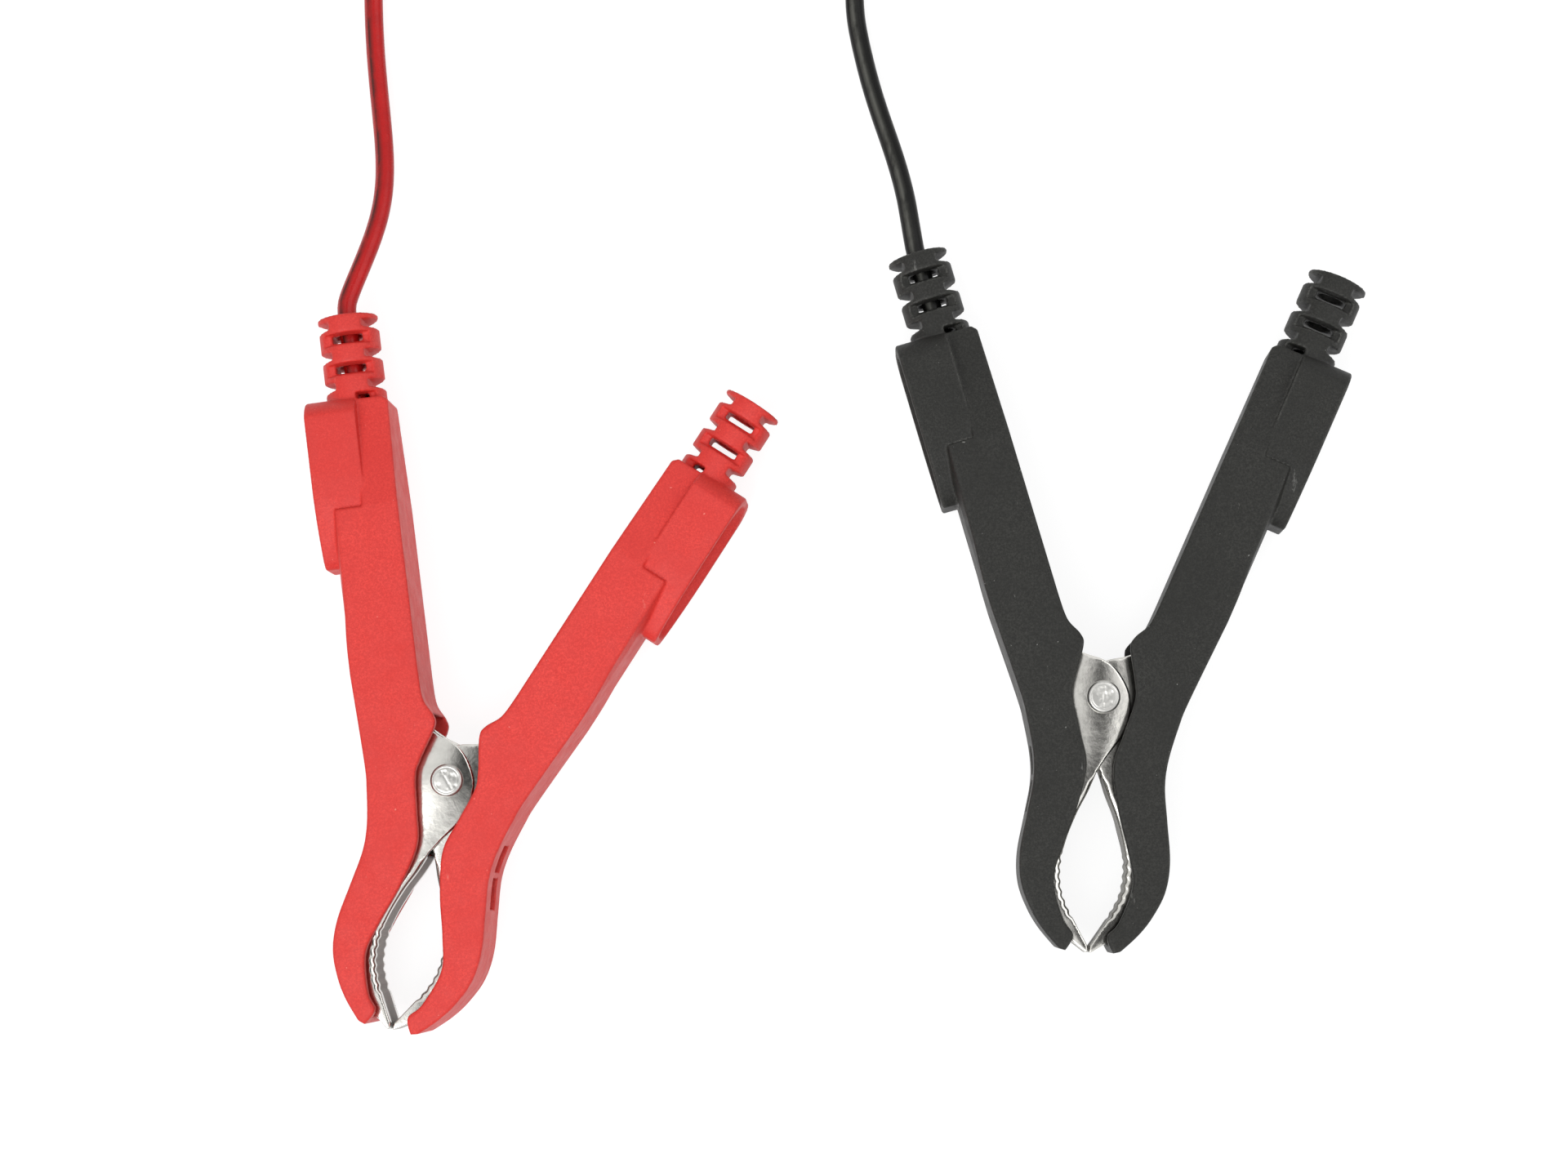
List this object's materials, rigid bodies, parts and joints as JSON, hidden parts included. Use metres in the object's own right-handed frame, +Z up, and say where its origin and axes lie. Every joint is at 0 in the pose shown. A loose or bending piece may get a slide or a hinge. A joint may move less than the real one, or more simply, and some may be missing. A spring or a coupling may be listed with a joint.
{
  "type": "battery charger clamp lead set",
  "caption": "Red and black insulated spring clamps with plated steel jaws, each on its own lead, for a car battery charger. Both leads end in one two-pole connector.",
  "frame": {"origin": "on the surface that the set lies on, under the middle of the box round the two clamps", "axes": "+X from the red clamp to the black clamp, +Y from the jaws to the handles, +Z up from the clamps' backs"},
  "size_m": [0.1665, 0.224, 0.0158],
  "materials": {
    "red_plastic": "satin",
    "black_plastic": "satin",
    "plated_steel": "brushed",
    "spring_steel": "satin",
    "tinned_copper": "satin",
    "bare_copper": "satin",
    "red_vinyl": "gloss",
    "black_vinyl": "gloss",
    "tie_fabric": "matte",
    "connector_plastic": "satin",
    "contact_brass": "satin"
  },
  "bodies": {
    "leads_and_left_halves": {"red_cover_left": "red_plastic", "red_jaw_left": "plated_steel", "red_rivet": "plated_steel", "red_spring": "spring_steel", "red_ferrule": "tinned_copper", "red_core": "bare_copper", "red_lead_inside": "red_vinyl", "red_lead": "red_vinyl", "red_coil": "red_vinyl", "red_coil_tie": "tie_fabric", "red_lead_tail": "red_vinyl", "black_cover_left": "black_plastic", "black_jaw_left": "plated_steel", "black_rivet": "plated_steel", "black_spring": "spring_steel", "black_ferrule": "tinned_copper", "black_core": "bare_copper", "black_lead_inside": "black_vinyl", "black_lead": "black_vinyl", "black_coil": "black_vinyl", "black_coil_tie": "tie_fabric", "black_lead_tail": "black_vinyl", "connector_shell": "connector_plastic", "connector_socket": "contact_brass", "connector_pin": "contact_brass"},
    "red_right_half": {"red_cover_right": "red_plastic", "red_jaw_right": "plated_steel"},
    "black_right_half": {"black_cover_right": "black_plastic", "black_jaw_right": "plated_steel"}
  },
  "joints": [
    {"name": "red_squeeze", "type": "hinge", "parent": "leads_and_left_halves", "child": "red_right_half", "pos_m": [-0.0598, -0.0227, 0.0079], "axis": [0, 0, 1], "range_deg": [0, 36], "stiffness_Nm_per_rad": 0.5, "springref_deg": -45.84, "deforming": ["red_spring"]},
    {"name": "black_squeeze", "type": "hinge", "parent": "leads_and_left_halves", "child": "black_right_half", "pos_m": [0.0414, -0.0098, 0.0079], "axis": [0, 0, 1], "range_deg": [0, 36], "stiffness_Nm_per_rad": 0.5, "springref_deg": -45.84, "deforming": ["black_spring"]}
  ]
}
